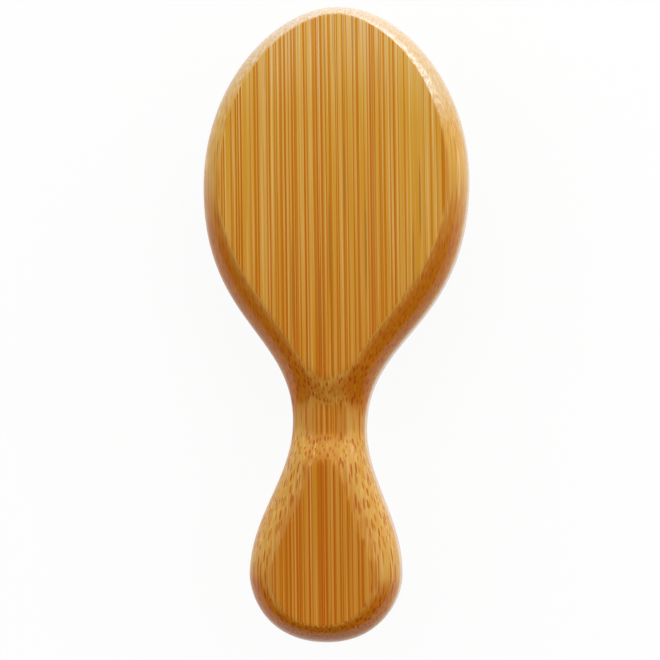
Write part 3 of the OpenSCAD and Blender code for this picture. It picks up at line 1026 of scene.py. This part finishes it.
class BRUSH_OT_turned_pins(Operator):
    """Makes the turned bamboo pins, one piece for each column"""
    bl_idname = "brush.turned_pins"
    bl_label = "Turned pins"

    def execute(self, context):
        body = context.scene.brush_body
        cushion = context.scene.brush_cushion
        pins = context.scene.brush_pins
        tree = pin_tree()
        sizes = {
            "Root": pins.root,
            "Waist": pins.waist,
            "Ball": pins.ball,
            "Neck": pins.neck,
            "Foot": pins.foot,
            "Reach": pins.reach,
            "Foot thickness": pins.foot_thickness,
            "Rubber": cushion.thickness,
            "Gap": pins.gap,
            "Finish": pin_material(pins),
        }
        for number, (column, roots) in enumerate(zip(PIN_COLUMNS, pin_roots(body, cushion, pins))):
            outs = [dome_out(body, cushion, root) for root in roots]
            piece = repeated(f"pins_{number + 1}", tree, roots, outs, {**sizes, "Seed": number})
            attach(piece, column)
            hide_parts(*BODIES[column])
        return {"FINISHED"}


class BRUSH_OT_stage(Operator):
    """Makes the pale floor, the soft lamps and the camera"""
    bl_idname = "brush.stage"
    bl_label = "Stage"

    def execute(self, context):
        stage = context.scene.brush_stage
        self.floor(stage)
        self.room(context.scene, stage)
        self.softbox("Key", stage.key, direction=(0.7, 0.7, 0.5), distance=0.55, size=(0.2, 0.03))
        self.softbox("Window", stage.window, direction=(0.25, 0.95, 0.16), distance=0.6, size=(1.0, 0.08))
        self.camera(context.scene, stage)
        context.scene.view_settings.view_transform = "Standard"
        return {"FINISHED"}

    def floor(self, stage):
        """Pale floor: nearly white to the camera, with a faint shadow, and clear when seen from below."""
        signs = ((-1, -1), (1, -1), (1, 1), (-1, 1))
        floor = made_mesh("floor", [(x * FLOOR_HALF, y * FLOOR_HALF, 0) for x, y in signs], [(0, 1, 2, 3)])
        material, wiring, shader = new_material("Pale_floor")
        speckle = wiring.noise(wiring.scaled(wiring.place(), 0.3))
        rough = wiring.ramp(speckle, 0.3, 0.7, 0.85, 0.95)
        wiring.fill(shader, {"Base Color": opaque(stage.floor), "Roughness": rough})
        white = wiring.result("ShaderNodeEmission", {"Color": WHITE, "Strength": 1.0})
        lift = wiring.times(wiring.math("MAXIMUM", *wiring.rays()), FLOOR_WHITE)
        lifted = wiring.result("ShaderNodeMixShader", {0: lift, 1: shader.outputs[0], 2: white})
        clear = wiring.result("ShaderNodeBsdfTransparent")
        below = wiring.add("ShaderNodeNewGeometry").outputs["Backfacing"]
        both = wiring.result("ShaderNodeMixShader", {0: below, 1: lifted, 2: clear})
        wiring.feed(material.node_tree.nodes["Material Output"].inputs["Surface"], both)
        floor.data.materials.append(material)

    def room(self, scene, stage):
        """White to the camera. Its light is strongest from beyond the head and weakest from straight above.

        Gloss shows the white backdrop near the floor and a dim room over it.
        """
        world = bpy.data.worlds.new("Studio")
        world.use_nodes = True
        wiring = Wiring(world.node_tree)
        camera, mirrored = wiring.rays()
        _, along, height = wiring.split(wiring.add("ShaderNodeTexCoord").outputs["Generated"])
        backdrop = wiring.times(mirrored, wiring.ramp(height, 0.12, 0.04))
        seen = wiring.math("MAXIMUM", camera, backdrop)
        walls = wiring.ramp(along, -0.8, 0.45, 0.15, 1.2)
        upper = wiring.ramp(height, 0, 0.7, 0.35, 1.4)
        ceiling = wiring.ramp(height, 0.85, 0.96, stage.ambient, CEILING_SHARE * stage.ambient)
        lit = wiring.times(walls, upper, ceiling, wiring.ramp(mirrored, 0, 1, 1, MIRRORED_ROOM))
        strength = wiring.math("MAXIMUM", lit, seen)
        wiring.fill(world.node_tree.nodes["Background"], {"Color": WHITE, "Strength": strength})
        scene.world = world

    def softbox(self, name, watts, direction, distance, size):
        """A rectangular lamp that faces the brush, with its distance and size in metres."""
        lamp = bpy.data.lights.new(name, "AREA")
        lamp.shape = "RECTANGLE"
        lamp.size, lamp.size_y = size
        lamp.energy = watts
        placed = bpy.data.objects.new(name, lamp)
        back = Vector(direction).normalized()
        placed.location = Vector((0, 0, BACK_Z / 2)) + back * distance
        placed.rotation_euler = back.to_track_quat("Z", "Y").to_euler()
        bpy.context.scene.collection.objects.link(placed)

    def camera(self, scene, stage):
        """The camera over the back of the brush."""
        back = Vector((tan(stage.tilt_right), -tan(stage.tilt_down), 1)).normalized()
        right = Vector((0, 1, 0)).cross(back).normalized()
        up = back.cross(right)
        turned_right = cos(stage.roll) * right + sin(stage.roll) * up
        turned_up = cos(stage.roll) * up - sin(stage.roll) * right
        turn = Matrix((turned_right, turned_up, back)).transposed().to_4x4()
        view = bpy.data.cameras.new("Camera")
        view.lens = view.sensor_width * stage.distance / stage.frame_width
        view.clip_start = 0.01
        placed = bpy.data.objects.new("Camera", view)
        placed.matrix_world = Matrix.Translation(VIEW_MIDDLE + stage.distance * back) @ turn
        scene.collection.objects.link(placed)
        scene.camera = placed


class BRUSH_PT_parts(Panel):
    """Lists the parts of the brush and their settings"""
    bl_label = "Paddle brush"
    bl_space_type = "VIEW_3D"
    bl_region_type = "UI"
    bl_category = "Brush"

    def draw(self, context):
        for settings, operator in PARTS:
            box = self.layout.box()
            box.operator(operator.bl_idname)
            group = getattr(context.scene, settings)
            for name in group.bl_rna.properties.keys():
                if name not in ("name", "rna_type"):
                    box.prop(group, name)


SETTINGS = {
    "brush_body": BodySettings,
    "brush_cushion": CushionSettings,
    "brush_pins": PinSettings,
    "brush_stage": StageSettings,
}
PARTS = (
    ("brush_body", BRUSH_OT_bamboo_body),
    ("brush_cushion", BRUSH_OT_rubber_cushion),
    ("brush_pins", BRUSH_OT_turned_pins),
    ("brush_stage", BRUSH_OT_stage),
)
CLASSES = (*SETTINGS.values(), *(operator for _, operator in PARTS), BRUSH_PT_parts)


def register():
    for cls in CLASSES:
        bpy.utils.register_class(cls)
    for name, group in SETTINGS.items():
        setattr(bpy.types.Scene, name, PointerProperty(type=group))


def unregister():
    for name in SETTINGS:
        delattr(bpy.types.Scene, name)
    for cls in reversed(CLASSES):
        bpy.utils.unregister_class(cls)


def main():
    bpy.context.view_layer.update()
    register()
    bpy.ops.brush.bamboo_body()
    bpy.ops.brush.rubber_cushion()
    bpy.ops.brush.turned_pins()
    bpy.ops.brush.stage()


if __name__ == "__main__":
    main()
